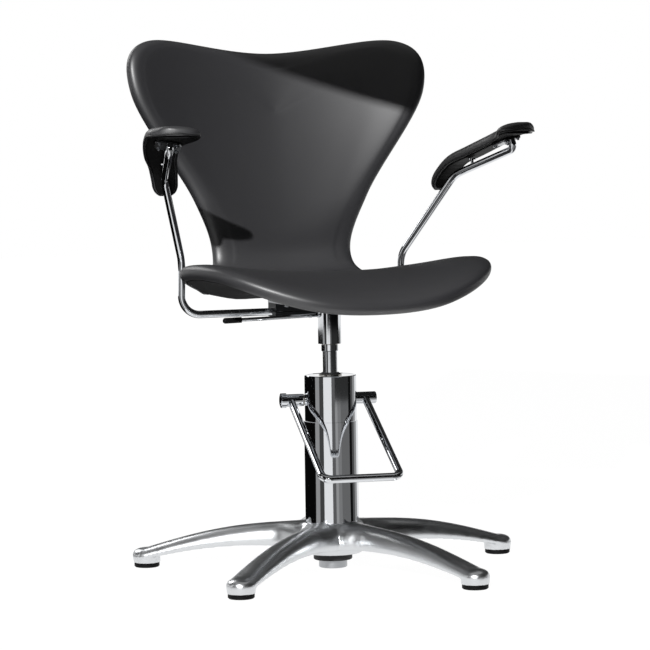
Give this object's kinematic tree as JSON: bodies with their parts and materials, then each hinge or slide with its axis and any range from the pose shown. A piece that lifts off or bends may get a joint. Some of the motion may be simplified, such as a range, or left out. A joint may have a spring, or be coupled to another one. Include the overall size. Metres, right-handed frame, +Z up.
{
  "type": "hairdressing chair",
  "caption": "Hairdressing chair: a waisted one-piece upholstered shell on a foot-pumped lift column with a star base, tubular arms with shaped pads, and a locking lever.",
  "frame": {"origin": "on the floor, on the column's axis", "axes": "+Z up along the column; the sitter faces -Y, with the sitter's right at -X"},
  "size_m": [0.6386, 0.6133, 0.8369],
  "materials": {
    "cast_alloy": "polished casting, softly mirror-like",
    "chrome": "mirror-bright chrome on steel tube",
    "steel": "zinc-plated steel, satin",
    "dark_steel": "black oxide screws",
    "black_plastic": "black moulded plastic, fine grain",
    "black_rubber": "black rubber, matt",
    "bronze": "sintered bronze, matt",
    "bent_ply": "moulded plywood, unseen under the leather",
    "leather": "black smooth leather over thin padding, satin"
  },
  "bodies": {
    "base": {"star_base": "cast_alloy", "glide_1": "black_plastic", "glide_2": "black_plastic", "glide_3": "black_plastic", "glide_4": "black_plastic", "glide_5": "black_plastic", "column_sleeve": "chrome", "pump_housing": "chrome", "top_cap": "chrome", "guide_bush": "bronze", "rod_wiper": "black_rubber", "base_washer": "black_rubber", "clamp_nut": "steel", "pump_manifold": "steel", "lift_barrel": "steel", "barrel_gland": "bronze", "pump_cylinder": "steel", "axle_bush_left": "bronze", "axle_bush_right": "bronze"},
    "pedal": {"pedal_axle": "steel", "pedal_hub_left": "chrome", "pedal_hub_right": "chrome", "pedal_bail": "chrome", "hub_screws": "dark_steel", "pedal_crank": "steel"},
    "plunger": {"pump_plunger": "steel", "plunger_spring": "steel"},
    "piston": {"piston_rod": "chrome", "piston_head": "bronze", "piston_ring": "black_rubber", "rod_collar": "chrome", "thrust_washer": "bronze"},
    "seat": {"seat_tube": "chrome", "seat_plate": "steel", "rubber_spacers": "black_rubber", "seat_screws": "steel", "tube_clamp": "steel", "clamp_cap": "steel", "clamp_screws": "dark_steel", "shell_core": "bent_ply", "front_pad": "leather", "rear_cover": "leather", "arm_tube_left": "chrome", "arm_tube_right": "chrome", "arm_bracket_left": "steel", "arm_bracket_right": "steel", "arm_base_left": "black_plastic", "arm_base_right": "black_plastic", "arm_pad_left": "leather", "arm_pad_right": "leather", "pad_screws": "steel", "lock_collar": "black_plastic", "brake_shoe": "bronze", "lever_pin": "steel"},
    "lever": {"lever_rod": "chrome", "lever_grip": "black_plastic"}
  },
  "joints": [
    {"name": "pedal_hinge", "type": "hinge", "parent": "base", "child": "pedal", "pos_m": [0.00282, 0.01778, 0.266], "axis": [0.9877, -0.1564, 0], "range_deg": [0, 22], "stiffness_Nm_per_rad": 3, "springref_deg": -34.38},
    {"name": "plunger_slide", "type": "slide", "parent": "base", "child": "plunger", "axis": [0, 0, -1], "range_m": [0, 0.0166], "deforming": ["plunger_spring"]},
    {"name": "lift_slide", "type": "slide", "parent": "base", "child": "piston", "axis": [0, 0, 1], "range_m": [-0.028, 0.1]},
    {"name": "seat_swivel", "type": "hinge", "parent": "piston", "child": "seat", "pos_m": [0, 0, 0.36], "axis": [0, 0, 1], "continuous": true},
    {"name": "lever_hinge", "type": "hinge", "parent": "seat", "child": "lever", "pos_m": [0, 0.03, 0.398], "axis": [0, 1, 0], "range_deg": [0, 8]}
  ],
  "couplings": [
    {"joint": "plunger_slide", "follows": "pedal_hinge", "m_per_rad": 0.04303}
  ]
}
